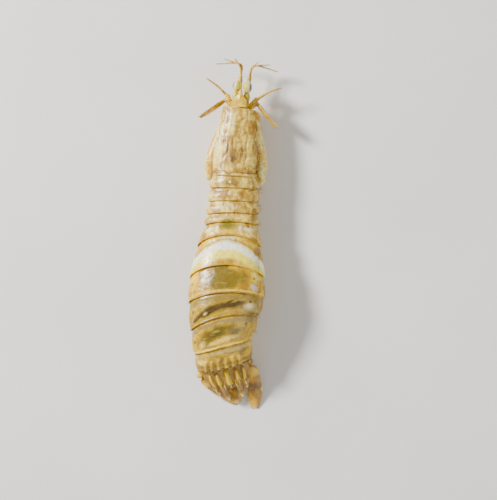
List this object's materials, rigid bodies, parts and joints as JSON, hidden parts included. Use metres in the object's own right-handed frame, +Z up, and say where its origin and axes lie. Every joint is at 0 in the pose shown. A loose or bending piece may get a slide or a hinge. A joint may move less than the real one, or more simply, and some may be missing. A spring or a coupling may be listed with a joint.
{
  "type": "mantis shrimp",
  "caption": "Life-size still model of a small mantis shrimp at rest on a flat floor, with folded smashing claws and its tail fan laid down.",
  "frame": {"origin": "on the floor, under the middle of the animal's box", "axes": "+Z up, +Y towards the tail along the body, +X to the animal's left"},
  "size_m": [0.015, 0.0566, 0.0095],
  "materials": {
    "shell": "wet golden tan shell, slightly clear, with brown mottling",
    "belly": "pale cream soft skin",
    "limb": "wet tan limbs, slightly clear",
    "tail": "wet golden brown shell with dark brown rims",
    "stalk": "yellow-green skin",
    "cornea": "glossy olive eye facets with a dark band"
  },
  "bodies": {
    "root": {"carapace": "shell", "cephalothorax": "belly", "rostral_plate": "shell", "head": "limb", "mouthparts": "belly", "eyestalk_left": "stalk", "eye_left": "cornea", "antennule_left": "limb", "antenna_left": "limb", "antennal_scale_left": "limb", "claw_merus_left": "limb", "claw_propodus_left": "limb", "claw_dactyl_left": "limb", "maxilliped_3_left": "limb", "maxilliped_4_left": "limb", "maxilliped_5_left": "limb", "walking_leg_1_left": "limb", "walking_leg_2_left": "limb", "walking_leg_3_left": "limb", "pleopod_1_left": "belly", "pleopod_2_left": "belly", "pleopod_3_left": "belly", "pleopod_4_left": "belly", "pleopod_5_left": "belly", "uropod_base_left": "tail", "uropod_exopod_left": "tail", "uropod_endopod_left": "tail", "eyestalk_right": "stalk", "eye_right": "cornea", "antennule_right": "limb", "antenna_right": "limb", "antennal_scale_right": "limb", "claw_merus_right": "limb", "claw_propodus_right": "limb", "claw_dactyl_right": "limb", "maxilliped_3_right": "limb", "maxilliped_4_right": "limb", "maxilliped_5_right": "limb", "walking_leg_1_right": "limb", "walking_leg_2_right": "limb", "walking_leg_3_right": "limb", "pleopod_1_right": "belly", "pleopod_2_right": "belly", "pleopod_3_right": "belly", "pleopod_4_right": "belly", "pleopod_5_right": "belly", "uropod_base_right": "tail", "uropod_exopod_right": "tail", "uropod_endopod_right": "tail", "thorax_5": "shell", "thorax_6": "shell", "thorax_7": "shell", "thorax_8": "shell", "abdomen_1": "shell", "abdomen_2": "shell", "abdomen_3": "shell", "abdomen_4": "shell", "abdomen_5": "shell", "abdomen_6": "shell", "telson": "tail"}
  },
  "joints": []
}
